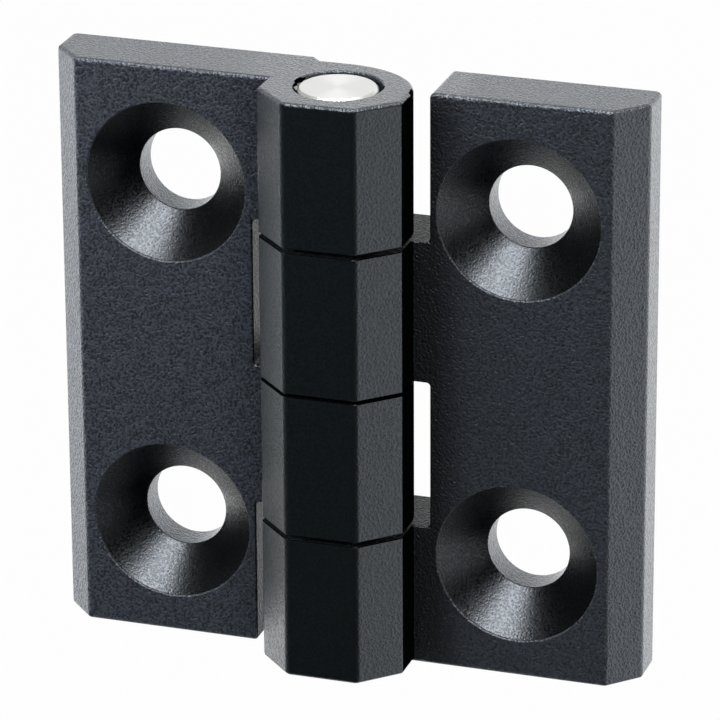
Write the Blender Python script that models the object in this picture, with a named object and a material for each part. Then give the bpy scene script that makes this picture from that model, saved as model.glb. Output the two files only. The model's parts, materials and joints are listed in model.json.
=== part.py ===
"""Square die-cast butt hinge: two leaves whose four knuckles turn on one steel pin.

The open hinge stands upright. X runs across both leaves, Z runs along the pin, and Y runs from the knuckle
side (-Y) to the mounting side (+Y). The origin is on the back of the frame leaf, midway between its two screw
holes. Lengths are in metres.

A leaf is drawn as a section in (u, v): u is the distance from the pin's axis towards the leaf's own outer
edge, and v is the distance behind the axis. The section is then run up the height in layers, because a leaf
is cut away wherever the other leaf has its knuckle.
"""
import math

import bmesh
import bpy

# Overall sizes of the open hinge
HINGE_HEIGHT = 0.0600
LEAF_REACH = 0.03015
LEAF_THICKNESS = 0.00745

# Outer edge of a leaf: a slope at the front and a rounded corner at the back
SLOPE_WIDTH = 0.00275
SLOPE_DEPTH = 0.0031
BACK_CORNER_RADIUS = 0.0007

# Knuckles: a half octagon in front, a flat and a long curve at the back
KNUCKLE_COUNT = 4
KNUCKLE_WIDTH = 0.0144
KNUCKLE_FLAT = 0.0069
KNUCKLE_FRONT = 0.00645
PIN_AHEAD = 0.0004
BACK_RECESS = 0.0010
STEP_FROM_AXIS = 0.0049
STEP_RUN = 0.0009
BACK_FLAT_END = 0.0011

# Running gaps between the leaves
OUTER_KNUCKLE_GAP = 0.00045
MIDDLE_KNUCKLE_GAP = 0.00030
SLOT_CLEARANCE = 0.00195

# Screw holes with a 90 degree countersink below a short straight lip
SCREW_HOLE_DIAMETER = 0.0084
SINK_DIAMETER = 0.0164
SINK_LIP = 0.0002
SCREW_FROM_AXIS = 0.0180
SCREW_PITCH = 0.0360

# Pin, with a knurled band that sits in the top knuckle
PIN_DIAMETER = 0.0079
PIN_CHAMFER = 0.00025
PIN_END_INSET = 0.0001
KNURL_HEIGHT = 0.0001
KNURL_LENGTH = 0.0080
KNURL_TEETH = 36
BORE_CLEARANCE = 0.0003

# Edge finish of the castings
EDGE_ROUNDING = 0.0004
ROUNDING_SEGMENTS = 2
ROUNDING_LIMIT = math.radians(30)

# Fineness of the curves, and how far a cutter stands clear of what it cuts
HOLE_SIDES = 64
BORE_SIDES = 48
CORNER_STEPS = 4
CURVE_STEPS = 14
CUTTER_MARGIN = 0.0020
SAME_HEIGHT = 1e-6

# Places that follow from the sizes above
AXIS_X = SCREW_FROM_AXIS
AXIS_Y = -(LEAF_THICKNESS + PIN_AHEAD)
LEAF_FRONT_V = PIN_AHEAD
LEAF_BACK_V = PIN_AHEAD + LEAF_THICKNESS
KNUCKLE_BACK_V = LEAF_BACK_V - BACK_RECESS
SLOT_U = KNUCKLE_WIDTH / 2 + SLOT_CLEARANCE
KNUCKLE_PITCH = HINGE_HEIGHT / KNUCKLE_COUNT
KNURL_RADIUS = PIN_DIAMETER / 2 + KNURL_HEIGHT
BORE_RADIUS = KNURL_RADIUS + BORE_CLEARANCE

FRAME_SIDE = -1
DOOR_SIDE = 1


def clear_scene():
    """Remove every object, so that the script starts from an empty scene."""
    for item in list(bpy.data.objects):
        bpy.data.objects.remove(item, do_unlink=True)


def coated_zinc():
    """Fine black powder coat on zinc."""
    material = bpy.data.materials.new("coated_zinc")
    material.use_nodes = True
    shader = material.node_tree.nodes["Principled BSDF"]
    shader.inputs["Base Color"].default_value = (0.016, 0.018, 0.022, 1.0)
    shader.inputs["Roughness"].default_value = 0.55
    shader.inputs["Metallic"].default_value = 0.0
    return material


def turned_steel():
    """Bright turned stainless steel."""
    material = bpy.data.materials.new("turned_steel")
    material.use_nodes = True
    shader = material.node_tree.nodes["Principled BSDF"]
    shader.inputs["Base Color"].default_value = (0.78, 0.78, 0.77, 1.0)
    shader.inputs["Roughness"].default_value = 0.28
    shader.inputs["Metallic"].default_value = 1.0
    return material


def place(name, mesh, location, material=None, parent=None):
    """Link a mesh as a named object, at a place in the world or under a parent at that place."""
    item = bpy.data.objects.new(name, mesh)
    if material:
        mesh.materials.append(material)
    if parent:
        item.parent = parent
    else:
        item.location = location
    bpy.context.collection.objects.link(item)
    return item


def finished_mesh(name, shape):
    """Turn a bmesh into a mesh with outward faces, smooth where the surface curves."""
    bmesh.ops.recalc_face_normals(shape, faces=shape.faces)
    mesh = bpy.data.meshes.new(name)
    shape.to_mesh(mesh)
    shape.free()
    mesh.shade_smooth()
    mesh.set_sharp_from_angle(angle=ROUNDING_LIMIT)
    return mesh


def arc(centre, radii, start, end, steps):
    """Points of an elliptical arc from one angle to another, both ends included."""
    turn = (end - start) / steps
    angles = [start + turn * step for step in range(steps + 1)]
    return [(centre[0] + radii[0] * math.cos(a), centre[1] + radii[1] * math.sin(a)) for a in angles]


def plate_outline():
    """Section of the flat plate, from the slot's front corner round the outer edge to its back corner."""
    corner = (LEAF_REACH - BACK_CORNER_RADIUS, LEAF_BACK_V - BACK_CORNER_RADIUS)
    radii = (BACK_CORNER_RADIUS, BACK_CORNER_RADIUS)
    outline = [
        (SLOT_U, LEAF_FRONT_V),
        (LEAF_REACH - SLOPE_WIDTH, LEAF_FRONT_V),
        (LEAF_REACH, LEAF_FRONT_V + SLOPE_DEPTH),
    ]
    outline += arc(corner, radii, 0.0, math.pi / 2, CORNER_STEPS)
    outline.append((SLOT_U, LEAF_BACK_V))
    return outline


def knuckle_outline():
    """Section of a knuckle and its neck, from the slot's back corner round the pin to its front corner."""
    half = KNUCKLE_WIDTH / 2
    facet = half - KNUCKLE_FLAT / 2
    outline = [
        (SLOT_U, LEAF_BACK_V),
        (STEP_FROM_AXIS, LEAF_BACK_V),
        (STEP_FROM_AXIS - STEP_RUN, KNUCKLE_BACK_V),
    ]
    radii = (half + BACK_FLAT_END, KNUCKLE_BACK_V)
    outline += arc((BACK_FLAT_END, 0.0), radii, math.pi / 2, math.pi, CURVE_STEPS)
    outline += [
        (-half, facet - KNUCKLE_FRONT),
        (-KNUCKLE_FLAT / 2, -KNUCKLE_FRONT),
        (KNUCKLE_FLAT / 2, -KNUCKLE_FRONT),
        (half, facet - KNUCKLE_FRONT),
        (half, LEAF_FRONT_V),
        (SLOT_U, LEAF_FRONT_V),
    ]
    return outline


def gap_below(knuckle):
    """Running gap under a knuckle, counted from 0 at the top. The last one ends flush with the leaves."""
    if knuckle == KNUCKLE_COUNT - 1:
        return 0.0
    if knuckle == KNUCKLE_COUNT // 2 - 1:
        return MIDDLE_KNUCKLE_GAP
    return OUTER_KNUCKLE_GAP


def knuckle_span(knuckle):
    """Lowest and highest point of a knuckle, counted from 0 at the top."""
    gap_above = gap_below(knuckle - 1) if knuckle else 0.0
    top = HINGE_HEIGHT / 2 - knuckle * KNUCKLE_PITCH
    return top - KNUCKLE_PITCH + gap_below(knuckle) / 2, top - gap_above / 2


def leaf_layers(first_knuckle):
    """Layers of a leaf from the bottom up, as (low, high, True where the leaf has its own knuckle)."""
    layers = []
    reached = -HINGE_HEIGHT / 2
    for low, high in sorted(knuckle_span(k) for k in range(first_knuckle, KNUCKLE_COUNT, 2)):
        if low - reached > SAME_HEIGHT:
            layers.append((reached, low, False))
        layers.append((low, high, True))
        reached = high
    if HINGE_HEIGHT / 2 - reached > SAME_HEIGHT:
        layers.append((reached, HINGE_HEIGHT / 2, False))
    return layers


def wall(shape, lower, upper):
    """Upright faces between two rings of points, one above the other."""
    for index in range(len(lower) - 1):
        shape.faces.new((lower[index], lower[index + 1], upper[index + 1], upper[index]))


def leaf_mesh(name, first_knuckle, side):
    """One leaf without its holes: the plate at full height, with a knuckle at every other level."""
    layers = leaf_layers(first_knuckle)
    heights = [layers[0][0]] + [high for low, high, solid in layers]
    solid = [False] + [layer[2] for layer in layers] + [False]
    shape = bmesh.new()
    plates = []
    knuckles = []
    for index, height in enumerate(heights):
        plate = [shape.verts.new((side * u, v, height)) for u, v in plate_outline()]
        plates.append(plate)
        knuckle = []
        if solid[index] or solid[index + 1]:
            inner = [shape.verts.new((side * u, v, height)) for u, v in knuckle_outline()[1:-1]]
            knuckle = [plate[-1]] + inner + [plate[0]]
        knuckles.append(knuckle)
        if solid[index] != solid[index + 1]:
            shape.faces.new(knuckle)
    shape.faces.new(plates[0])
    shape.faces.new(plates[-1])
    for index, layer in enumerate(layers):
        wall(shape, plates[index], plates[index + 1])
        if layer[2]:
            wall(shape, knuckles[index], knuckles[index + 1])
        else:
            slot_end = [[ring[-1], ring[0]] for ring in plates[index:index + 2]]
            wall(shape, slot_end[0], slot_end[1])
    bmesh.ops.dissolve_limit(shape, angle_limit=math.radians(0.5), verts=shape.verts, edges=shape.edges)
    return finished_mesh(name, shape)


def turned_mesh(name, sides, profile, upright):
    """A body turned about Z, or about Y where upright is False, from (distance along, radius at a side)."""
    shape = bmesh.new()
    rings = []
    for along, radius_at in profile:
        ring = []
        for side in range(sides):
            angle = 2 * math.pi * side / sides
            across = radius_at(side) * math.cos(angle)
            other = radius_at(side) * math.sin(angle)
            ring.append(shape.verts.new((across, other, along) if upright else (across, along, other)))
        rings.append(ring)
    for lower, upper in zip(rings, rings[1:]):
        wall(shape, lower + lower[:1], upper + upper[:1])
    shape.faces.new(rings[0])
    shape.faces.new(rings[-1])
    return finished_mesh(name, shape)


def even(radius):
    """The same radius at every side of a turned body."""
    return lambda side: radius


def cutter(name, mesh, location):
    """A guide body that is only taken away from others."""
    item = place(name, mesh, location)
    item.hide_render = True
    item.display_type = "WIRE"
    return item


def screw_hole_cutters():
    """One countersunk hole shape for each screw, in rows for the frame leaf and the door leaf."""
    front = -LEAF_THICKNESS
    sink_depth = (SINK_DIAMETER - SCREW_HOLE_DIAMETER) / 2
    profile = [
        (front - CUTTER_MARGIN, even(SINK_DIAMETER / 2)),
        (front + SINK_LIP, even(SINK_DIAMETER / 2)),
        (front + SINK_LIP + sink_depth, even(SCREW_HOLE_DIAMETER / 2)),
        (CUTTER_MARGIN, even(SCREW_HOLE_DIAMETER / 2)),
    ]
    mesh = turned_mesh("screw_hole", HOLE_SIDES, profile, False)
    rows = []
    for side in (FRAME_SIDE, DOOR_SIDE):
        column = AXIS_X + side * SCREW_FROM_AXIS
        places = [(column, 0.0, -SCREW_PITCH / 2), (column, 0.0, SCREW_PITCH / 2)]
        rows.append([cutter("cut_screw_hole", mesh, spot) for spot in places])
    return rows


def bore_cutter():
    """The pin's bore through every knuckle."""
    end = HINGE_HEIGHT / 2 + CUTTER_MARGIN
    profile = [(-end, even(BORE_RADIUS)), (end, even(BORE_RADIUS))]
    return cutter("cut_bore", turned_mesh("bore", BORE_SIDES, profile, True), (AXIS_X, AXIS_Y, 0.0))


def make_leaf(name, first_knuckle, side, cutters, material, axis):
    """One finished leaf: rounded edges, then the holes."""
    leaf = place(name, leaf_mesh(name, first_knuckle, side), None, material, axis)
    rounding = leaf.modifiers.new("rounded_edges", "BEVEL")
    rounding.width = EDGE_ROUNDING
    rounding.segments = ROUNDING_SEGMENTS
    rounding.limit_method = "ANGLE"
    rounding.angle_limit = ROUNDING_LIMIT
    for tool in cutters:
        cut = leaf.modifiers.new(tool.name, "BOOLEAN")
        cut.operation = "DIFFERENCE"
        cut.solver = "EXACT"
        cut.object = tool
    return leaf


def make_pin(material, axis):
    """The pin: chamfered ends just inside the end faces, and a knurled band near the top."""
    plain = PIN_DIAMETER / 2
    end = HINGE_HEIGHT / 2 - PIN_END_INSET
    knurl_top = end - 2 * PIN_CHAMFER

    def knurled(side):
        return KNURL_RADIUS if side % 2 else plain

    profile = [
        (-end, even(plain - PIN_CHAMFER)),
        (-end + PIN_CHAMFER, even(plain)),
        (knurl_top - KNURL_LENGTH - KNURL_HEIGHT, even(plain)),
        (knurl_top - KNURL_LENGTH, knurled),
        (knurl_top - KNURL_HEIGHT, knurled),
        (knurl_top, even(plain)),
        (end - PIN_CHAMFER, even(plain)),
        (end, even(plain - PIN_CHAMFER)),
    ]
    return place("hinge_pin", turned_mesh("hinge_pin", 2 * KNURL_TEETH, profile, True), None, material, axis)


def pin_axis(name):
    """An empty on the pin's axis, at mid height."""
    axis = bpy.data.objects.new(name, None)
    axis.location = (AXIS_X, AXIS_Y, 0.0)
    bpy.context.collection.objects.link(axis)
    return axis


def main():
    """Build the frame leaf with its pin, and the door leaf that swings on it."""
    clear_scene()
    coating = coated_zinc()
    frame_axis = pin_axis("frame_side")
    door_axis = pin_axis("door_swing")
    bore = bore_cutter()
    frame_holes, door_holes = screw_hole_cutters()
    make_leaf("frame_leaf", 0, FRAME_SIDE, frame_holes + [bore], coating, frame_axis)
    make_leaf("door_leaf", 1, DOOR_SIDE, door_holes + [bore], coating, door_axis)
    make_pin(turned_steel(), frame_axis)


main()
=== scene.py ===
"""Looks of a black die-cast butt hinge: two powder coated zinc leaves and a turned steel pin.

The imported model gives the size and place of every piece. The leaves and the pin are built again here with
finer edges and holes, on the same sizes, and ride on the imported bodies. Lengths are in metres unless a name
ends in _mm. X runs across the leaves, Y from their front to their mounting faces, and Z up along the pin.
"""

import json
import logging
import math
from dataclasses import dataclass, field
from enum import Enum
from typing import Any, Callable

import bmesh
import bpy
from mathutils import Matrix, Vector

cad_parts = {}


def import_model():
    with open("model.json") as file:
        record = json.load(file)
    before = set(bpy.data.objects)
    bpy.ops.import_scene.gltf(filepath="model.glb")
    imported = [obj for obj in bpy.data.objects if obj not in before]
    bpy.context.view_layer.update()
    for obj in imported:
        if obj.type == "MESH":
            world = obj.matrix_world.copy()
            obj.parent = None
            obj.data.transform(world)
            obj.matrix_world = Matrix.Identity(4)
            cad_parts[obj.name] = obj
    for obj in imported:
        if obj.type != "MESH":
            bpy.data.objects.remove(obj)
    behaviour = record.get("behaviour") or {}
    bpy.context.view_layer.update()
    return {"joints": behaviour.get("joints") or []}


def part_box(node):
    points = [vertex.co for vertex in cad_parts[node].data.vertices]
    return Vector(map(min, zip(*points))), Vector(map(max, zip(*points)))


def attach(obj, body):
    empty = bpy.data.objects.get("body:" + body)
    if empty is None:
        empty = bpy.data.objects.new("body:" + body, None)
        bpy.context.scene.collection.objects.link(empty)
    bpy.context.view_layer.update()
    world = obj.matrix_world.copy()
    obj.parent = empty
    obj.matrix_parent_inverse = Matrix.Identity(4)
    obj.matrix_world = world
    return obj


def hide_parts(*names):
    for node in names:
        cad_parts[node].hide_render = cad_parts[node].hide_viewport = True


LOG = logging.getLogger("hinge")
MM = 0.001
# Points nearer to each other than this are taken to be in the same place.
SAME_PLACE = MM / 100
# The rolled rim of a cutter stops short of a right angle, so that it still crosses the face that it cuts.
RIM_ANGLE = math.radians(80)
# The slope of a countersink, measured from the screw's axis.
SINK_ANGLE = math.radians(45)
# A wave texture turns through this many radians for each unit of its coordinates.
WAVE_RADIANS = 20.0
ALONG_Y = Vector((0, 1, 0))
ALONG_Z = Vector((0, 0, 1))

Tree = bpy.types.NodeTree
Socket = bpy.types.NodeSocket
Point = tuple[float, float]
Radius = Callable[[int], float]
Colour = tuple[float, float, float, float]


class LeafSide(Enum):
    """The side of the pin that a leaf lies on, as the sign of its X direction."""

    FRAME = -1
    DOOR = 1


class CoatZone(Enum):
    """Which finish a face of a casting carries, as its material index."""

    TEXTURED = 0
    SMOOTH = 1
    # SUNK, SHADED and SLOT get darker copies of the coat: painted shade in countersinks, gaps and slots.
    SUNK = 2
    SHADED = 3
    SLOT = 4


def to_linear(colour: str) -> Colour:
    """Turn an sRGB colour into the linear values that a shader takes, by the standard curve.

    Args:
        colour: The colour as six hex digits after a hash sign.

    Returns:
        Red, green, blue and an alpha of one.
    """
    channels = []
    for start in (1, 3, 5):
        value = int(colour[start:start + 2], 16) / 255
        channels.append(value / 12.92 if value <= 0.04045 else ((value + 0.055) / 1.055) ** 2.4)
    return (channels[0], channels[1], channels[2], 1.0)


def add_node(
    tree: Tree,
    kind: str,
    settings: dict[str, Any] | None = None,
    inputs: dict[str | int, Any] | None = None,
) -> bpy.types.Node:
    """Add a node with its settings, its socket values and its links.

    Args:
        tree: The node tree that takes the node.
        kind: Blender's name for the node type.
        settings: Attributes of the node and their values.
        inputs: Socket names or numbers, each with a value or with the output socket that feeds it.

    Returns:
        The new node.
    """
    node = tree.nodes.new(kind)
    for name, value in (settings or {}).items():
        setattr(node, name, value)
    for name, value in (inputs or {}).items():
        if isinstance(value, Socket):
            tree.links.new(value, node.inputs[name])
        else:
            node.inputs[name].default_value = value
    return node


def new_material(name: str) -> tuple[bpy.types.Material, Tree, bpy.types.Node]:
    """Make an empty node material.

    Args:
        name: The material's name.

    Returns:
        The material, its node tree and its output node.
    """
    material = bpy.data.materials.new(name)
    material.use_nodes = True
    tree = material.node_tree
    tree.nodes.clear()
    return material, tree, tree.nodes.new("ShaderNodeOutputMaterial")


@dataclass(frozen=True)
class PowderCoat:
    """Fine-textured black polyester powder coat, sprayed and baked on die-cast zinc.

    The eye sees a near-black matt skin with a sandy grain of low bumps, which turns grey where it is seen
    edge-on or catches the lamp overhead. Beside the knuckles its colour is darker, which is painted shade,
    and it is a little smoother.

    Attributes:
        colour: Colour of the grain's crests, and colour_low of its pits: their own tone with painted shade.
        roughness: Roughness of the crests, and pit_roughness of the pits.
        specular: Strength of the sheen, one half being that of bare resin.
        pit_mm: Distance between the pits, a little coarser than on the real coat so that they show.
        grain_mm: Size of the finer grain over the pits, coarser than the real one for the same reason.
        relief_mm: Height of the grain.
        pit_softness: How far the pits run into each other, from none to one.
        grain_layers: How many finer layers the grain has.
        grain_share: Share of the grain in the height, the pits having the rest.
        pit_level: Height below which a pit has its full colour. A crest has it above crest_level.
        axis_x: Where the pin's axis lies. The painted shade fades from painted_shade_start to
        painted_shade_end, counted from there.
        painted_shade_level: Share of the colour that the painted shade leaves, one for a coat without it.
        door_painted_shade_low: Where the door side's fade would start if it weren't cut off at
        painted_shade_level. It makes the band of painted shade on that side wider.
        painted_shade_roughness: Share of the roughness left where the painted shade would take all colour.
    """

    name: str = "powder_coated_zinc_textured"
    colour: str = "#2b2f37"
    colour_low: str = "#060709"
    reflection: str = "#e8f0fa"
    roughness: float = 0.43
    pit_roughness: float = 0.50
    ior: float = 1.5
    specular: float = 0.90
    pit_mm: float = 0.29
    grain_mm: float = 0.21
    relief_mm: float = 0.15
    pit_softness: float = 0.4
    grain_layers: float = 2.0
    grain_share: float = 0.60
    pit_level: float = 0.36
    crest_level: float = 0.58
    axis_x: float = 18.0 * MM
    painted_shade_start: float = 7.0 * MM
    painted_shade_end: float = 13.5 * MM
    painted_shade_level: float = 0.7
    door_painted_shade_low: float = 0.05
    painted_shade_roughness: float = 0.55

    def material(self) -> bpy.types.Material:
        """Build the node material.

        Returns:
            The finished material.
        """
        material, tree, output = new_material(self.name)
        place = add_node(tree, "ShaderNodeTexCoord").outputs["Object"]
        height = self._height(tree, place)
        relief = {"Strength": 1.0, "Distance": self.relief_mm * MM, "Height": height}
        bump = add_node(tree, "ShaderNodeBump", None, relief)
        levels = {"Value": height, "From Min": self.pit_level, "From Max": self.crest_level}
        crests = add_node(tree, "ShaderNodeMapRange", None, levels).outputs[0]
        colour, roughness = self._skin(tree, crests, self._painted_knuckle_shade(tree, place))
        shader = add_node(
            tree,
            "ShaderNodeBsdfPrincipled",
            None,
            {
                "Base Color": colour,
                "Metallic": 0.0,
                "Roughness": roughness,
                "IOR": self.ior,
                "Specular IOR Level": self.specular,
                "Specular Tint": to_linear(self.reflection),
                "Normal": bump.outputs["Normal"],
            },
        )
        tree.links.new(shader.outputs["BSDF"], output.inputs["Surface"])
        return material

    def _height(self, tree: Tree, place: Socket) -> Socket:
        """Add the height of the skin: soft pits with a finer grain over them.

        Args:
            tree: The node tree that takes it.
            place: The coordinates it follows.

        Returns:
            The height, around one half.
        """
        pattern = {"Vector": place, "Scale": 1.0 / (self.pit_mm * MM), "Smoothness": self.pit_softness}
        pits = add_node(tree, "ShaderNodeTexVoronoi", {"feature": "SMOOTH_F1"}, pattern).outputs["Distance"]
        pattern = {"Vector": place, "Scale": 1.0 / (self.grain_mm * MM), "Detail": self.grain_layers}
        grain = add_node(tree, "ShaderNodeTexNoise", None, pattern).outputs["Fac"]
        shares = {"Factor": self.grain_share, "A": pits, "B": grain}
        return add_node(tree, "ShaderNodeMix", {"data_type": "FLOAT"}, shares).outputs["Result"]

    def _skin(self, tree: Tree, crests: Socket, painted_shade: Socket) -> tuple[Socket, Socket]:
        """Add the colour and the roughness, both lower beside the knuckles, the colour by painted shade.

        Args:
            tree: The node tree that takes them.
            crests: One on a crest of the grain and zero in a pit.
            painted_shade: The share of the colour that the painted shade beside the knuckles leaves.

        Returns:
            The colour and the roughness.
        """
        # The pits' darker colour is their own tone with painted shade in the grain's hollows.
        tones = {"Factor": crests, "A": to_linear(self.colour_low), "B": to_linear(self.colour)}
        tone = add_node(tree, "ShaderNodeMix", {"data_type": "RGBA"}, tones).outputs["Result"]
        # Painted shade: the colour is multiplied by the darker band beside the knuckles.
        product = {"data_type": "RGBA", "blend_type": "MULTIPLY"}
        mixed = add_node(tree, "ShaderNodeMix", product, {"Factor": 1.0, "A": tone, "B": painted_shade})
        limits = {"Value": crests, "To Min": self.pit_roughness, "To Max": self.roughness}
        grain = add_node(tree, "ShaderNodeMapRange", None, limits).outputs[0]
        limits = {"Value": painted_shade, "To Min": self.painted_shade_roughness, "To Max": 1.0}
        smoother_in_painted_shade = add_node(tree, "ShaderNodeMapRange", None, limits).outputs[0]
        rough = add_node(tree, "ShaderNodeMath", {"operation": "MULTIPLY"}, {0: grain, 1: smoother_in_painted_shade})
        return mixed.outputs["Result"], rough.outputs["Value"]

    def _painted_knuckle_shade(self, tree: Tree, place: Socket) -> Socket:
        """Add the painted shade beside the knuckles, where the face is painted darker.

        Args:
            tree: The node tree that takes it.
            place: The coordinates it follows.

        Returns:
            The share of the colour that is left, one away from the knuckles.
        """
        # Painted shade: darker towards the knuckles, over a wider band on the door side.
        across = add_node(tree, "ShaderNodeSeparateXYZ", None, {"Vector": place}).outputs["X"]
        fades = []
        for side, low in ((LeafSide.DOOR, self.door_painted_shade_low), (LeafSide.FRAME, self.painted_shade_level)):
            fade = add_node(
                tree,
                "ShaderNodeMapRange",
                {"interpolation_type": "SMOOTHSTEP"},
                {
                    "Value": across,
                    "From Min": self.axis_x + side.value * self.painted_shade_start,
                    "From Max": self.axis_x + side.value * self.painted_shade_end,
                    "To Min": low,
                },
            )
            fades.append(fade.outputs[0])
        both = add_node(tree, "ShaderNodeMath", {"operation": "MAXIMUM"}, {0: fades[0], 1: fades[1]})
        return both.outputs["Value"]


def powder_coats() -> dict[CoatZone, bpy.types.Material]:
    """Make the coat of every zone, all from one spray of the same black powder.

    Returns:
        The material of each zone.
    """
    # The knuckles' flat facets have no texture in the die, and the powder flowed out smooth on them. The eye
    # sees a deep black with hardly any grain.
    smooth = PowderCoat(
        name="powder_coated_zinc_smooth",
        colour="#0b1113",
        colour_low="#000000",
        roughness=0.33,
        pit_roughness=0.45,
        specular=0.60,
        relief_mm=0.05,
        painted_shade_level=1.0,
        painted_shade_roughness=1.0,
    )
    # The countersinks were turned before the coat was sprayed, which lies thinly and evenly on their
    # slopes with a finer, smoother grain. Their near-black colour is painted shade in the recess. The eye
    # sees a black funnel with a grey gleam where it faces the lamp overhead.
    sunk = PowderCoat(
        name="powder_coated_zinc_countersunk_painted_shade",
        colour="#040506",
        colour_low="#000000",
        roughness=0.27,
        pit_roughness=0.44,
        specular=0.45,
        pit_mm=0.22,
        grain_mm=0.17,
        relief_mm=0.035,
        painted_shade_roughness=1.0,
    )
    # The faces that run on each other or lie close beside the knuckles get a near-black copy of the coat
    # without sheen, which is painted shade in the gaps. The eye sees black lines.
    shaded = PowderCoat(
        name="powder_coated_zinc_painted_shade_in_gaps",
        colour="#0a0c0e",
        colour_low="#050607",
        roughness=0.50,
        specular=0.0,
    )
    # The walls of the slots hold a dry, rough coat, as powder settles badly in corners. Their darker
    # colour and weak sheen are painted shade in the slots. The eye sees a matt dark grey with a coarse grain.
    slot = PowderCoat(
        name="powder_coated_zinc_slot_walls_painted_shade",
        colour="#15181c",
        colour_low="#020202",
        roughness=0.50,
        pit_roughness=0.60,
        specular=0.12,
        relief_mm=0.16,
        painted_shade_level=1.0,
        painted_shade_roughness=1.0,
    )
    finishes = {
        CoatZone.TEXTURED: PowderCoat(),
        CoatZone.SMOOTH: smooth,
        CoatZone.SUNK: sunk,
        CoatZone.SHADED: shaded,
        CoatZone.SLOT: slot,
    }
    return {zone: finish.material() for zone, finish in finishes.items()}


@dataclass(frozen=True)
class TurnedSteel:
    """Turned stainless steel, faced off on a lathe.

    The eye sees a bright, almost white disc whose sheen runs out from the centre, because the light is
    spread across fine rings of tool marks.

    Attributes:
        anisotropy: How far the sheen is drawn out across the tool marks.
        ring_mm: Distance between the tool marks, coarser than the real feed of the tool so that they show.
        relief_mm: Height of the tool marks, of which relief_share reaches the shading.
    """

    name: str = "turned_stainless_steel"
    colour: str = "#aeaeac"
    roughness: float = 0.38
    anisotropy: float = 0.45
    ring_mm: float = 0.5655
    relief_mm: float = 0.002
    relief_share: float = 0.5

    def material(self) -> bpy.types.Material:
        """Build the node material.

        Returns:
            The finished material.
        """
        material, tree, output = new_material(self.name)
        place = add_node(tree, "ShaderNodeTexCoord").outputs["Object"]
        scale = 2 * math.pi / (WAVE_RADIANS * self.ring_mm * MM)
        rings = add_node(
            tree,
            "ShaderNodeTexWave",
            {"wave_type": "RINGS", "rings_direction": "Z"},
            {"Vector": place, "Scale": scale},
        ).outputs["Fac"]
        relief = {"Strength": self.relief_share, "Distance": self.relief_mm * MM, "Height": rings}
        bump = add_node(tree, "ShaderNodeBump", None, relief)
        tangent = add_node(tree, "ShaderNodeTangent", {"direction_type": "RADIAL", "axis": "Z"})
        shader = add_node(
            tree,
            "ShaderNodeBsdfPrincipled",
            None,
            {
                "Base Color": to_linear(self.colour),
                "Metallic": 1.0,
                "Roughness": self.roughness,
                "Anisotropic": self.anisotropy,
                "Normal": bump.outputs["Normal"],
                "Tangent": tangent.outputs["Tangent"],
            },
        )
        tree.links.new(shader.outputs["BSDF"], output.inputs["Surface"])
        return material


@dataclass(frozen=True)
class StudioWhite:
    """Matt white paper of the floor. The camera and shiny surfaces see it close to white.

    Attributes:
        glow: Share of plain white that the camera and shiny surfaces see. The rest shows the shadow.
    """

    name: str = "white_paper"
    colour: str = "#f2f2f2"
    glow: float = 0.97

    def material(self) -> bpy.types.Material:
        """Build the node material.

        Returns:
            The finished material.
        """
        material, tree, output = new_material(self.name)
        paper = add_node(tree, "ShaderNodeBsdfDiffuse", None, {"Color": to_linear(self.colour)})
        white = add_node(tree, "ShaderNodeEmission", None, {"Color": (1, 1, 1, 1), "Strength": 1.0})
        seen = seen_directly(tree)
        share = add_node(tree, "ShaderNodeMath", {"operation": "MULTIPLY"}, {0: seen, 1: self.glow})
        parts = {0: share.outputs["Value"], 1: paper.outputs["BSDF"], 2: white.outputs["Emission"]}
        mixed = add_node(tree, "ShaderNodeMixShader", None, parts)
        tree.links.new(mixed.outputs["Shader"], output.inputs["Surface"])
        return material


def seen_directly(tree: Tree) -> Socket:
    """Tell the rays that show a background from those that carry its light.

    Args:
        tree: The node tree that asks.

    Returns:
        One for camera, glossy and transmission rays, and zero for the others.
    """
    path = add_node(tree, "ShaderNodeLightPath")
    seen = path.outputs["Is Camera Ray"]
    for kind in ("Is Glossy Ray", "Is Transmission Ray"):
        pair = {0: seen, 1: path.outputs[kind]}
        seen = add_node(tree, "ShaderNodeMath", {"operation": "MAXIMUM"}, pair).outputs["Value"]
    return seen


def arc(centre: Point, radii: Point, start: float, end: float, steps: int) -> list[Point]:
    """Points of an elliptical arc, both ends included.

    Args:
        centre: The arc's centre.
        radii: Its two half axes.
        start: The first angle, in radians.
        end: The last angle, in radians.
        steps: The number of stretches between the points.

    Returns:
        The points in order.
    """
    angles = [start + (end - start) * step / steps for step in range(steps + 1)]
    return [(centre[0] + radii[0] * math.cos(a), centre[1] + radii[1] * math.sin(a)) for a in angles]


def rolled_rim(rounding: float, steps: int) -> list[Point]:
    """Points of a rim rolled over from a face into a hole, from the face inwards.

    Args:
        rounding: The radius of the rolled edge.
        steps: The number of stretches between the points.

    Returns:
        How deep each point lies below the face, and how far outside the hole's wall.
    """
    angles = [RIM_ANGLE * (1 - step / steps) for step in range(steps + 1)]
    return [(rounding * (1 - math.sin(a)), rounding * (1 - math.cos(a))) for a in angles]


def wall(shape: bmesh.types.BMesh, lower: list[Any], upper: list[Any]) -> None:
    """Add the faces between two rows of points.

    Args:
        shape: The mesh that takes the faces.
        lower: The first row of points.
        upper: The second row, with as many points.
    """
    for index in range(len(lower) - 1):
        shape.faces.new((lower[index], lower[index + 1], upper[index + 1], upper[index]))


def finished_mesh(name: str, shape: bmesh.types.BMesh) -> bpy.types.Mesh:
    """Close a mesh under construction.

    Args:
        name: The name of the result.
        shape: The mesh under construction, which is freed.

    Returns:
        A mesh with outward faces.
    """
    bmesh.ops.recalc_face_normals(shape, faces=shape.faces)
    mesh = bpy.data.meshes.new(name)
    shape.to_mesh(mesh)
    shape.free()
    return mesh


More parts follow.
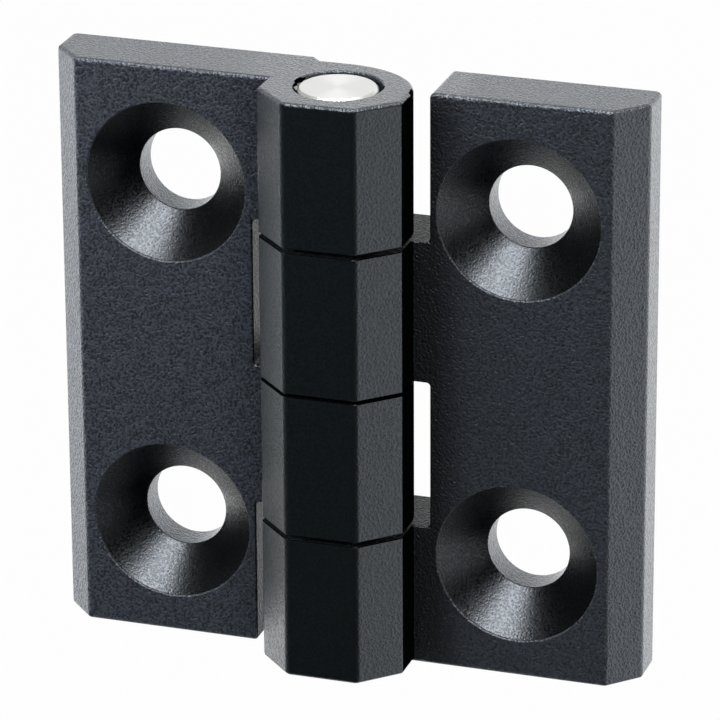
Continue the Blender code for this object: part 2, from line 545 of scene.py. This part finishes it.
def turned_mesh(name: str, sides: int, profile: list[tuple[float, Radius]], axis: Vector) -> bpy.types.Mesh:
    """Turn a profile into a closed body.

    Args:
        name: The name of the result.
        sides: The number of sides round the body.
        profile: Distances along the axis, each with the radius at a given side.
        axis: The direction of the axis, Y or Z.

    Returns:
        The body's mesh, with its axis through the origin.
    """
    shape = bmesh.new()
    turn = axis.rotation_difference(ALONG_Z).to_matrix().inverted()
    rings = []
    for along, radius_at in profile:
        ring = []
        for side in range(sides):
            angle = 2 * math.pi * side / sides
            spot = Vector((radius_at(side) * math.cos(angle), radius_at(side) * math.sin(angle), along))
            ring.append(shape.verts.new(turn @ spot))
        rings.append(ring)
    for lower, upper in zip(rings, rings[1:]):
        wall(shape, lower + lower[:1], upper + upper[:1])
    shape.faces.new(rings[0])
    shape.faces.new(rings[-1])
    return finished_mesh(name, shape)


def even(radius: float) -> Radius:
    """Give the same radius at every side of a turned body."""
    return lambda side: radius


def round_cutter(name: str, sides: int, profile: list[Point], axis: Vector) -> bpy.types.Mesh:
    """Turn a round body that cuts a hole.

    Args:
        name: The name of the result.
        sides: The number of sides round the body.
        profile: Distances along the axis with their radii.
        axis: The direction of the axis, Y or Z.

    Returns:
        The cutter's mesh, with its axis through the origin.
    """
    return turned_mesh(name, sides, [(along, even(radius)) for along, radius in profile], axis)


def link_object(name: str, mesh: bpy.types.Mesh, place: Vector | None = None) -> bpy.types.Object:
    """Put a mesh in the scene.

    Args:
        name: The object's name.
        mesh: Its mesh.
        place: Where its origin goes, or None for the world's origin.

    Returns:
        The new object.
    """
    item = bpy.data.objects.new(name, mesh)
    bpy.context.collection.objects.link(item)
    if place is not None:
        item.location = place
    return item


def settle(item: bpy.types.Object) -> None:
    """Apply an object's modifiers to its mesh.

    Args:
        item: The object, which is left without modifiers.
    """
    bpy.context.view_layer.update()
    seen = item.evaluated_get(bpy.context.evaluated_depsgraph_get())
    mesh = bpy.data.meshes.new_from_object(seen)
    item.modifiers.clear()
    item.data = mesh


def shade(item: bpy.types.Object, sharp_degrees: float) -> None:
    """Shade an object smooth, with flat faces kept flat up to their rounded edges.

    Args:
        item: The object to shade.
        sharp_degrees: The angle from which an edge stays sharp.
    """
    item.data.shade_smooth()
    item.data.set_sharp_from_angle(angle=math.radians(sharp_degrees))
    weighting = item.modifiers.new("flat_faces_kept_flat", "WEIGHTED_NORMAL")
    weighting.keep_sharp = True
    # All the weight goes to the largest face at a corner.
    weighting.weight = 100
    settle(item)


@dataclass
class ScrewHole:
    """A countersunk screw hole, with its coated rims rounded over.

    A short straight lip runs round the countersink, and its slope turns into the straight hole at the throat.
    The cutter reaches past both faces by the margin.
    """

    diameter: float = 8.4 * MM
    sink_diameter: float = 16.4 * MM
    lip: float = 0.25 * MM
    rim_rounding: float = 0.14 * MM
    throat_rounding: float = 0.25 * MM
    back_rounding: float = 0.20 * MM
    sides: int = 160
    steps: int = 5
    margin: float = 1.5 * MM

    def cutter_mesh(self, thickness: float) -> bpy.types.Mesh:
        """Make the body that is cut away, along Y, with the leaf's front face at zero.

        Args:
            thickness: The leaf's thickness.

        Returns:
            The cutter's mesh.
        """
        hole = self.diameter / 2
        sink = self.sink_diameter / 2
        front_rim = rolled_rim(self.rim_rounding, self.steps)
        back_rim = rolled_rim(self.back_rounding, self.steps)
        profile = [(-self.margin, sink + self.rim_rounding + self.margin)]
        profile += [(inset, sink + flare) for inset, flare in front_rim]
        profile.append((self.lip, sink))
        profile += self._throat(self.lip + sink - hole, hole)
        profile += [(thickness - inset, hole + flare) for inset, flare in reversed(back_rim)]
        profile.append((thickness + self.margin, hole + self.back_rounding + self.margin))
        return round_cutter("screw_hole_cutter", self.sides, profile, ALONG_Y)

    def _throat(self, depth: float, radius: float) -> list[Point]:
        """Points of the rounded edge where the countersink runs into the straight hole.

        Args:
            depth: How deep the sharp edge would lie.
            radius: The hole's radius.

        Returns:
            Distances along the axis with their radii.
        """
        reach = self.throat_rounding * math.tan(SINK_ANGLE / 2)
        centre = (depth + reach, radius + self.throat_rounding)
        radii = (self.throat_rounding, self.throat_rounding)
        return arc(centre, radii, -math.pi / 2 - SINK_ANGLE, -math.pi / 2, self.steps)


@dataclass(frozen=True)
class ZoneLimits:
    """Where one zone of the coat ends and the next begins.

    A name that ends in _facing is the least share of its unit normal that a face turns to the front
    (countersinks), sideways (flanks, feet, ends of slots) or along the pin (running faces, walls of slots).

    Attributes:
        sink_hollow: A face whose centre is nearer to a screw's axis than this runs round the whole hole, and
            isn't part of its slope.
        sink_rim: How deep the leaf's textured coat reaches over the rim of a countersink.
        flank_reach: How far outside the knuckles' width a flank may lie.
        end_depth: How far from the leaf's top and bottom its end faces reach.
        run_front: How far in front of the leaf's face a running face lies, and facet_front a facet.
        slot_end_reach: How far the end of a slot may lie from its sharp corner.
        foot_reach: How far outside the knuckles' width a knuckle's foot reaches. It lies between foot_front
            before the leaf's face and foot_back behind it.
    """

    sink_facing: float = 0.3
    sink_hollow: float = 1.0 * MM
    sink_rim: float = 0.05 * MM
    flank_facing: float = 0.9
    flank_reach: float = 0.1 * MM
    end_depth: float = 1.0 * MM
    run_facing: float = 0.5
    run_front: float = 0.1 * MM
    slot_facing: float = 0.7
    slot_end_reach: float = 0.3 * MM
    foot_reach: float = 0.3 * MM
    foot_facing: float = 0.2
    foot_front: float = 0.4 * MM
    foot_back: float = 1.0 * MM
    facet_front: float = 0.3 * MM


@dataclass
class LeafCasting:
    """One leaf of the hinge with its knuckles, cast in one piece and powder coated.

    Its sections are drawn round the pin's axis: the first number of a point runs from the axis to the
    leaf's outer edge, and the second to its mounting face.

    Attributes:
        node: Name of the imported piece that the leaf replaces. Its corners are low and high.
        body: Name of the body that it rides on.
        first_knuckle: Its first knuckle, counted from 0 at the top.
        axis: A point of the pin's axis, halfway up.
    """

    node: str
    body: str
    side: LeafSide
    first_knuckle: int
    axis: Vector
    low: Vector
    high: Vector
    slope_width: float = 2.95 * MM
    slope_depth: float = 3.10 * MM
    back_corner_radius: float = 0.7 * MM
    knuckle_count: int = 4
    knuckle_width: float = 14.65 * MM
    knuckle_flat: float = 7.25 * MM
    face_behind_axis: float = 0.4 * MM
    back_recess: float = 1.0 * MM
    step_from_axis: float = 4.9 * MM
    step_run: float = 0.9 * MM
    back_flat_end: float = 1.1 * MM
    outer_gap: float = 0.45 * MM
    middle_gap: float = 0.30 * MM
    slot_clearance: float = 1.75 * MM
    screw_from_axis: float = 18.0 * MM
    screw_pitch: float = 36.0 * MM
    bore_radius: float = 4.35 * MM
    bore_rounding: float = 0.20 * MM
    bore_sides: int = 128
    bore_rim_steps: int = 4
    bore_margin: float = 0.1 * MM
    end_rounding: float = 0.42 * MM
    facet_rounding: float = 0.46 * MM
    side_rounding: float = 0.22 * MM
    slot_rounding: float = 0.46 * MM
    slope_rounding: float = 0.28 * MM
    running_rounding: float = 0.12 * MM
    rounding_segments: int = 4
    rounded_from_degrees: float = 28.0
    sharp_from_degrees: float = 32.0
    flat_within_degrees: float = 0.2
    curve_steps: int = 48
    corner_steps: int = 8
    screw_hole: ScrewHole = field(default_factory=ScrewHole)
    limits: ZoneLimits = field(default_factory=ZoneLimits)

    @property
    def height(self) -> float:
        """Height of the leaf along the pin."""
        return self.high.z - self.low.z

    @property
    def reach(self) -> float:
        """Distance from the pin's axis to the outer edge."""
        edge = self.high.x if self.side is LeafSide.DOOR else self.low.x
        return abs(edge - self.axis.x)

    @property
    def back(self) -> float:
        """Distance of the mounting face behind the axis."""
        return self.high.y - self.axis.y

    @property
    def front(self) -> float:
        """Distance of the knuckles' front behind the axis, a negative number."""
        return self.low.y - self.axis.y

    @property
    def slot(self) -> float:
        """Distance from the axis to the end of a slot."""
        return self.knuckle_width / 2 + self.slot_clearance

    def plate_section(self) -> list[Point]:
        """Draw the section of the plate.

        Returns:
            Points from the slot's front corner round the outer edge to its back corner.
        """
        radius = self.back_corner_radius
        corner = (self.reach - radius, self.back - radius)
        points = [
            (self.slot, self.face_behind_axis),
            (self.reach - self.slope_width, self.face_behind_axis),
            (self.reach, self.face_behind_axis + self.slope_depth),
        ]
        points += arc(corner, (radius, radius), 0.0, math.pi / 2, self.corner_steps)
        points.append((self.slot, self.back))
        return points

    def knuckle_section(self) -> list[Point]:
        """Draw the section of a knuckle and its neck.

        Returns:
            Points from the slot's back corner round the knuckle to its front corner.
        """
        half = self.knuckle_width / 2
        facet = half - self.knuckle_flat / 2
        knuckle_back = self.back - self.back_recess
        points = [
            (self.slot, self.back),
            (self.step_from_axis, self.back),
            (self.step_from_axis - self.step_run, knuckle_back),
        ]
        radii = (half + self.back_flat_end, knuckle_back)
        points += arc((self.back_flat_end, 0.0), radii, math.pi / 2, math.pi, self.curve_steps)
        points += [
            (-half, self.front + facet),
            (-self.knuckle_flat / 2, self.front),
            (self.knuckle_flat / 2, self.front),
            (half, self.front + facet),
            (half, self.face_behind_axis),
            (self.slot, self.face_behind_axis),
        ]
        return points

    def gap_below(self, knuckle: int) -> float:
        """Running gap under a knuckle.

        Args:
            knuckle: The knuckle, counted from 0 at the top.

        Returns:
            The gap, which is none under the last knuckle.
        """
        if knuckle == self.knuckle_count - 1:
            return 0.0
        return self.middle_gap if knuckle == self.knuckle_count // 2 - 1 else self.outer_gap

    def layers(self) -> list[tuple[float, float, bool]]:
        """Split the leaf's height into slots and knuckles.

        Returns:
            Layers from the bottom up: low, high, and whether the leaf has its own knuckle there.
        """
        pitch = self.height / self.knuckle_count
        spans = []
        for knuckle in range(self.first_knuckle, self.knuckle_count, 2):
            top = self.height / 2 - knuckle * pitch
            above = self.gap_below(knuckle - 1) if knuckle else 0.0
            spans.append((top - pitch + self.gap_below(knuckle) / 2, top - above / 2))
        layers = []
        reached = -self.height / 2
        for low, high in sorted(spans):
            if low - reached > SAME_PLACE:
                layers.append((reached, low, False))
            layers.append((low, high, True))
            reached = high
        if self.height / 2 - reached > SAME_PLACE:
            layers.append((reached, self.height / 2, False))
        return layers

    def raw_mesh(self) -> bpy.types.Mesh:
        """Build the leaf round the axis, with sharp edges and without holes.

        Returns:
            The leaf's mesh, whose sharp edges carry the share of the largest rounding that they take.
        """
        layers = self.layers()
        heights = [layers[0][0]] + [layer[1] for layer in layers]
        solid = [False] + [layer[2] for layer in layers] + [False]
        sign = self.side.value
        shape = bmesh.new()
        plates = []
        knuckles = []
        for index, z in enumerate(heights):
            plate = [shape.verts.new((sign * u, v, z)) for u, v in self.plate_section()]
            plates.append(plate)
            ring = []
            if solid[index] or solid[index + 1]:
                inner = [shape.verts.new((sign * u, v, z)) for u, v in self.knuckle_section()[1:-1]]
                ring = [plate[-1]] + inner + [plate[0]]
            knuckles.append(ring)
            if solid[index] != solid[index + 1]:
                shape.faces.new(ring)
        shape.faces.new(plates[0])
        shape.faces.new(plates[-1])
        for index, layer in enumerate(layers):
            wall(shape, plates[index], plates[index + 1])
            if layer[2]:
                wall(shape, knuckles[index], knuckles[index + 1])
            else:
                lower, upper = plates[index], plates[index + 1]
                wall(shape, [lower[-1], lower[0]], [upper[-1], upper[0]])
        flat = math.radians(self.flat_within_degrees)
        bmesh.ops.dissolve_limit(shape, angle_limit=flat, verts=shape.verts, edges=shape.edges)
        bmesh.ops.recalc_face_normals(shape, faces=shape.faces)
        weight = shape.edges.layers.float.new("bevel_weight_edge")
        for edge in shape.edges:
            if edge.calc_face_angle(0.0) > math.radians(self.rounded_from_degrees):
                edge[weight] = self._rounding(edge) / self.facet_rounding
        return finished_mesh(self.node, shape)

    def _rounding(self, edge: bmesh.types.BMEdge) -> float:
        """Choose how far the rounding of one sharp edge reaches.

        Args:
            edge: The edge, in a mesh round the axis.

        Returns:
            The rounding's width.
        """
        first, second = (vert.co for vert in edge.verts)
        middle = (first + second) / 2
        if abs(first.z - second.z) < SAME_PLACE:
            if abs(abs(middle.x) - self.slot) < SAME_PLACE:
                return self.slot_rounding
            at_end = abs(abs(middle.z) - self.height / 2) < SAME_PLACE
            return self.end_rounding if at_end else self.running_rounding
        if abs(middle.y - self.front) < SAME_PLACE:
            return self.facet_rounding
        if abs(middle.x) > self.reach - self.slope_width - SAME_PLACE:
            return self.slope_rounding
        return self.side_rounding

    def bore_mesh(self, low: float, high: float) -> bpy.types.Mesh:
        """Make the cutter of one knuckle's bore, flared at both ends to round its rims over.

        Args:
            low: The knuckle's lower end.
            high: Its upper end.

        Returns:
            The cutter's mesh.
        """
        rim = rolled_rim(self.bore_rounding, self.bore_rim_steps)
        wide = self.bore_radius + self.bore_rounding + self.bore_margin
        profile = [(low - self.bore_margin, wide)]
        profile += [(low + inset, self.bore_radius + flare) for inset, flare in rim]
        profile += [(high - inset, self.bore_radius + flare) for inset, flare in reversed(rim)]
        profile.append((high + self.bore_margin, wide))
        return round_cutter("bore_cutter", self.bore_sides, profile, ALONG_Z)

    def build(self, coats: dict[CoatZone, bpy.types.Material]) -> bpy.types.Object:
        """Build the finished leaf and hand it to its body.

        Args:
            coats: The finish of each zone.

        Returns:
            The leaf.
        """
        leaf = link_object(self.node + "_casting", self.raw_mesh(), self.axis)
        rounding = leaf.modifiers.new("rounded_edges", "BEVEL")
        rounding.width = self.facet_rounding
        rounding.segments = self.rounding_segments
        rounding.limit_method = "WEIGHT"
        cutters = self._cutters()
        for tool in cutters:
            cut = leaf.modifiers.new("cut", "BOOLEAN")
            cut.operation = "DIFFERENCE"
            cut.solver = "EXACT"
            cut.object = tool
        settle(leaf)
        for tool in cutters:
            bpy.data.objects.remove(tool, do_unlink=True)
        leaf.data.transform(Matrix.Translation(self.axis))
        leaf.location = (0, 0, 0)
        leaf.data.materials.clear()
        for zone in CoatZone:
            leaf.data.materials.append(coats[zone])
        for face in leaf.data.polygons:
            face.material_index = self._zone(face.center, face.normal).value
        shade(leaf, self.sharp_from_degrees)
        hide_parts(self.node)
        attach(leaf, self.body)
        return leaf

    def _cutters(self) -> list[bpy.types.Object]:
        """Make the screw hole and bore cutters.

        Returns:
            The cutters, in their places.
        """
        thickness = self.back - self.face_behind_axis
        face = self.axis + Vector((self.side.value * self.screw_from_axis, self.face_behind_axis, 0))
        mesh = self.screw_hole.cutter_mesh(thickness)
        tools = []
        for level in (-self.screw_pitch / 2, self.screw_pitch / 2):
            tools.append(link_object("screw_hole_cutter", mesh, face + Vector((0, 0, level))))
        for low, high, solid in self.layers():
            if solid:
                tools.append(link_object("bore_cutter", self.bore_mesh(low, high), self.axis))
        return tools

    def _zone(self, spot: Vector, normal: Vector) -> CoatZone:
        """Choose the coat of one face. The first zone that fits takes it.

        Args:
            spot: The face's centre.
            normal: Its direction.

        Returns:
            The zone.
        """
        limits = self.limits
        beside = abs(spot.x - self.axis.x) - self.knuckle_width / 2
        behind = spot.y - (self.axis.y + self.face_behind_axis)
        between_ends = abs(spot.z) < self.height / 2 - limits.end_depth
        sideways = abs(normal.x)
        along_pin = abs(normal.z)
        # SUNK, SHADED and SLOT faces get darker coats that carry painted shade.
        if -normal.y > limits.sink_facing and self._over_countersink(spot):
            return CoatZone.SUNK if behind > limits.sink_rim else CoatZone.TEXTURED
        if sideways > limits.flank_facing and beside < limits.flank_reach:
            return CoatZone.SHADED
        if between_ends and along_pin >= limits.run_facing and behind < -limits.run_front:
            return CoatZone.SHADED
        if between_ends and along_pin > limits.slot_facing and beside < self.slot_clearance:
            return CoatZone.SLOT
        if sideways > limits.slot_facing and abs(beside - self.slot_clearance) < limits.slot_end_reach:
            return CoatZone.SLOT
        at_foot = beside < limits.foot_reach and -limits.foot_front < behind < limits.foot_back
        if at_foot and sideways > limits.foot_facing:
            return CoatZone.SHADED
        if behind < -limits.facet_front and along_pin < limits.run_facing:
            return CoatZone.SMOOTH
        return CoatZone.TEXTURED

    def _over_countersink(self, spot: Vector) -> bool:
        """Tell whether a point lies over the slope of one of the leaf's countersinks.

        Args:
            spot: The point.

        Returns:
            True if it does.
        """
        hole_x = self.axis.x + self.side.value * self.screw_from_axis
        level = abs(abs(spot.z - self.axis.z) - self.screw_pitch / 2)
        off_centre = math.hypot(spot.x - hole_x, level)
        return self.limits.sink_hollow < off_centre < self.screw_hole.sink_diameter / 2


@dataclass
class HingePin:
    """The pin: turned ends, and a knurled band pressed into the top knuckle.

    Attributes:
        axis: A point of the pin's axis.
        crest_power: Power of the crests' sine. Less than one makes them round, with narrow valleys.
        burr_length: Length of the burrs above the band, where the knurling tool ran out.
        burr_first: Where the burrs begin round the pin, as a share of the turn from the X direction. They
            end at burr_last.
        burr_edge: Height over which a burr rises from the plain pin.
        burr_depth: How far below the pin's end the burrs stop, as a multiple of the chamfer.
    """

    axis: Vector
    low: float
    high: float
    radius: float = 3.95 * MM
    chamfer: float = 0.25 * MM
    knurl_radius: float = 4.33 * MM
    knurl_length: float = 8.0 * MM
    knurl_teeth: int = 24
    tooth_sides: int = 8
    crest_power: float = 0.7
    burr_length: float = 0.9 * MM
    burr_first: float = 0.33
    burr_last: float = 0.55
    burr_edge: float = 0.02 * MM
    burr_depth: float = 1.1
    sharp_from_degrees: float = 30.0

    @property
    def sides(self) -> int:
        """Number of sides round the pin."""
        return self.knurl_teeth * self.tooth_sides

    def knurled(self, side: int) -> float:
        """Radius of the knurled band at one side.

        Args:
            side: The side, counted from the X direction.

        Returns:
            The radius, on a round crest or in a narrow valley.
        """
        phase = (side % self.tooth_sides) / self.tooth_sides
        swell = math.sin(math.pi * phase) ** self.crest_power
        return self.radius + (self.knurl_radius - self.radius) * swell

    def run_out(self, side: int) -> float:
        """Radius above the band, where the tool ran out and left burrs on the frame leaf's side.

        Args:
            side: The side, counted from the X direction.

        Returns:
            The radius, on a burr or on the plain pin.
        """
        share = side / self.sides
        return self.knurled(side) if self.burr_first < share < self.burr_last else self.radius

    def build(self, steel: bpy.types.Material) -> bpy.types.Object:
        """Build the pin and hand it to its body.

        Args:
            steel: The pin's finish.

        Returns:
            The pin.
        """
        plain = even(self.radius)
        end = even(self.radius - self.chamfer)
        burr_top = self.high - self.burr_depth * self.chamfer
        knurl_top = burr_top - self.burr_length
        run_in = self.knurl_radius - self.radius
        profile = [
            (self.low, end),
            (self.low + self.chamfer, plain),
            (knurl_top - self.knurl_length - run_in, plain),
            (knurl_top - self.knurl_length, self.knurled),
            (knurl_top, self.knurled),
            (knurl_top + self.burr_edge, self.run_out),
            (burr_top - self.burr_edge, self.run_out),
            (burr_top, plain),
            (self.high - self.chamfer, plain),
            (self.high, end),
        ]
        pin = link_object("hinge_pin_turned", turned_mesh("hinge_pin", self.sides, profile, ALONG_Z))
        pin.data.transform(Matrix.Translation(Vector((self.axis.x, self.axis.y, 0))))
        pin.data.materials.append(steel)
        shade(pin, self.sharp_from_degrees)
        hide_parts("hinge_pin")
        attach(pin, "frame_side")
        return pin


@dataclass
class Softbox:
    """A rectangular lamp with an even white face.

    Attributes:
        offset: Where it hangs, counted from what it lights.
        radiance: Brightness of its face.
        glare: Whether it shows in the sheen of what it lights.
        fill: Whether it lights the matt colour.
    """

    name: str
    offset: Vector
    width: float
    height: float
    radiance: float
    glare: bool = True
    fill: bool = True

    def build(self, aim: Vector) -> bpy.types.Object:
        """Hang the lamp, out of the camera's sight.

        Args:
            aim: What it lights.

        Returns:
            The lamp.
        """
        lamp = bpy.data.lights.new(self.name, "AREA")
        lamp.shape = "RECTANGLE"
        lamp.size = self.width
        lamp.size_y = self.height
        lamp.energy = self.radiance * math.pi * self.width * self.height
        item = bpy.data.objects.new(self.name, lamp)
        place = aim + self.offset
        item.location = place
        item.rotation_euler = (aim - place).to_track_quat("-Z", "Y").to_euler()
        item.visible_camera = False
        item.visible_glossy = self.glare
        item.visible_diffuse = self.fill
        bpy.context.collection.objects.link(item)
        return item


@dataclass
class Studio:
    """White floor, soft lamps and the camera of the photograph.

    Attributes:
        centre: The middle of the hinge, at which the lamps aim.
        floor_front: How far the floor reaches to the front. Its other edges lie at floor_reach.
        room_level: Light of the room in front of the hinge, white being one.
        sweep_start: Y of the direction in which the room begins to turn white. At sweep_end it is white.
        azimuth: Degrees by which the camera stands to the right of the hinge's front.
        elevation: Degrees by which it looks down. By roll it is turned about its own line of sight.
        shift_right: How far it stands aside, and shift_up how far up, to frame the hinge.
        focal_pixels: Its focal length, in pixels of a picture that is image_pixels wide.
    """

    centre: Vector
    floor_drop: float = 0.40
    floor_front: float = 0.12
    floor_reach: float = 4.0
    room_level: float = 0.03
    sweep_start: float = -0.22
    sweep_end: float = 0.14
    azimuth: float = 18.311
    elevation: float = 21.866
    roll: float = -0.321
    distance: float = 0.51917
    shift_right: float = 0.001836
    shift_up: float = 0.001408
    focal_pixels: float = 5298.0
    image_pixels: float = 720.0
    sensor_mm: float = 36.0
    near_clip: float = 0.01
    far_clip: float = 50.0

    def build(self) -> None:
        """Set up everything around the hinge."""
        self._floor()
        self._world()
        self._lamps()
        self._camera()
        bpy.context.scene.view_settings.view_transform = "Standard"

    def _floor(self) -> None:
        """Lay the floor below the hinge."""
        shape = bmesh.new()
        reach = self.floor_reach
        corners = [(-reach, -self.floor_front), (reach, -self.floor_front), (reach, reach), (-reach, reach)]
        shape.faces.new([shape.verts.new((x, y, 0)) for x, y in corners])
        place = self.centre - Vector((0, 0, self.floor_drop))
        floor = link_object("floor", finished_mesh("floor", shape), place)
        floor.data.materials.append(StudioWhite().material())

    def _world(self) -> None:
        """Light the room white behind the hinge and dim in front of it. The camera sees it white all over."""
        world = bpy.data.worlds.new("studio")
        bpy.context.scene.world = world
        world.use_nodes = True
        tree = world.node_tree
        tree.nodes.clear()
        direction = add_node(tree, "ShaderNodeTexCoord").outputs["Generated"]
        backward = add_node(tree, "ShaderNodeSeparateXYZ", None, {"Vector": direction}).outputs["Y"]
        sweep = add_node(
            tree,
            "ShaderNodeMapRange",
            {"interpolation_type": "SMOOTHSTEP"},
            {
                "Value": backward,
                "From Min": self.sweep_start,
                "From Max": self.sweep_end,
                "To Min": self.room_level,
            },
        ).outputs[0]
        camera = add_node(tree, "ShaderNodeLightPath").outputs["Is Camera Ray"]
        level = add_node(tree, "ShaderNodeMath", {"operation": "MAXIMUM"}, {0: sweep, 1: camera})
        white = add_node(
            tree, "ShaderNodeBackground", None, {"Color": (1, 1, 1, 1), "Strength": level.outputs["Value"]}
        )
        output = tree.nodes.new("ShaderNodeOutputWorld")
        tree.links.new(white.outputs["Background"], output.inputs["Surface"])

    def _lamps(self) -> None:
        """Hang the lamps: overhead for the sheen, in front for the matt faces, behind and at both sides."""
        boxes = [
            Softbox("overhead_softbox", Vector((0.08, -0.26, 0.50)), 0.46, 0.26, 22.0, fill=False),
            Softbox("front_softbox", Vector((-0.16, -0.12, 0.08)), 0.12, 0.12, 24.0, glare=False),
            Softbox("back_softbox", Vector((0.10, 0.60, -0.05)), 1.2, 0.7, 2.0),
            Softbox("left_softbox", Vector((-0.55, 0.30, -0.14)), 0.6, 0.5, 2.0),
            Softbox("right_softbox", Vector((0.60, -0.10, -0.18)), 0.4, 0.5, 2.0),
        ]
        for box in boxes:
            box.build(self.centre)

    def _camera(self) -> None:
        """Set the camera at the photograph's viewing angle and distance."""
        turn = math.radians(self.azimuth)
        tilt = math.radians(self.elevation)
        roll = math.radians(self.roll)
        back = Vector((math.sin(turn) * math.cos(tilt), -math.cos(turn) * math.cos(tilt), math.sin(tilt)))
        level = Vector((math.cos(turn), math.sin(turn), 0))
        upward = back.cross(level)
        right = math.cos(roll) * level + math.sin(roll) * upward
        up = math.cos(roll) * upward - math.sin(roll) * level
        place = self.centre + right * self.shift_right + up * self.shift_up + back * self.distance
        lens = bpy.data.cameras.new("camera")
        lens.sensor_fit = "HORIZONTAL"
        lens.sensor_width = self.sensor_mm
        lens.lens = self.focal_pixels / self.image_pixels * self.sensor_mm
        lens.clip_start = self.near_clip
        lens.clip_end = self.far_clip
        camera = bpy.data.objects.new("camera", lens)
        bpy.context.collection.objects.link(camera)
        axes = Matrix((right, up, back)).transposed().to_4x4()
        camera.matrix_world = Matrix.Translation(place) @ axes
        bpy.context.scene.camera = camera


def main() -> None:
    """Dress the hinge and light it."""
    logging.basicConfig(level=logging.INFO, format="%(name)s: %(message)s")
    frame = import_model()
    axis = Vector(frame["joints"][0]["pos_m"])
    coats = powder_coats()
    places = [("frame_leaf", "frame_side", LeafSide.FRAME, 0), ("door_leaf", "door_side", LeafSide.DOOR, 1)]
    pieces = []
    for node, body, side, first in places:
        low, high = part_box(node)
        leaf = LeafCasting(node, body, side, first, axis, Vector(low), Vector(high))
        pieces.append(leaf.build(coats))
    low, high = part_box("hinge_pin")
    pieces.append(HingePin(axis, low[2], high[2]).build(TurnedSteel().material()))
    for piece in pieces:
        LOG.info("%s: %d faces", piece.name, len(piece.data.polygons))
    Studio(Vector((axis.x, axis.y + LeafCasting.face_behind_axis, axis.z))).build()


if __name__ == "__main__":
    main()
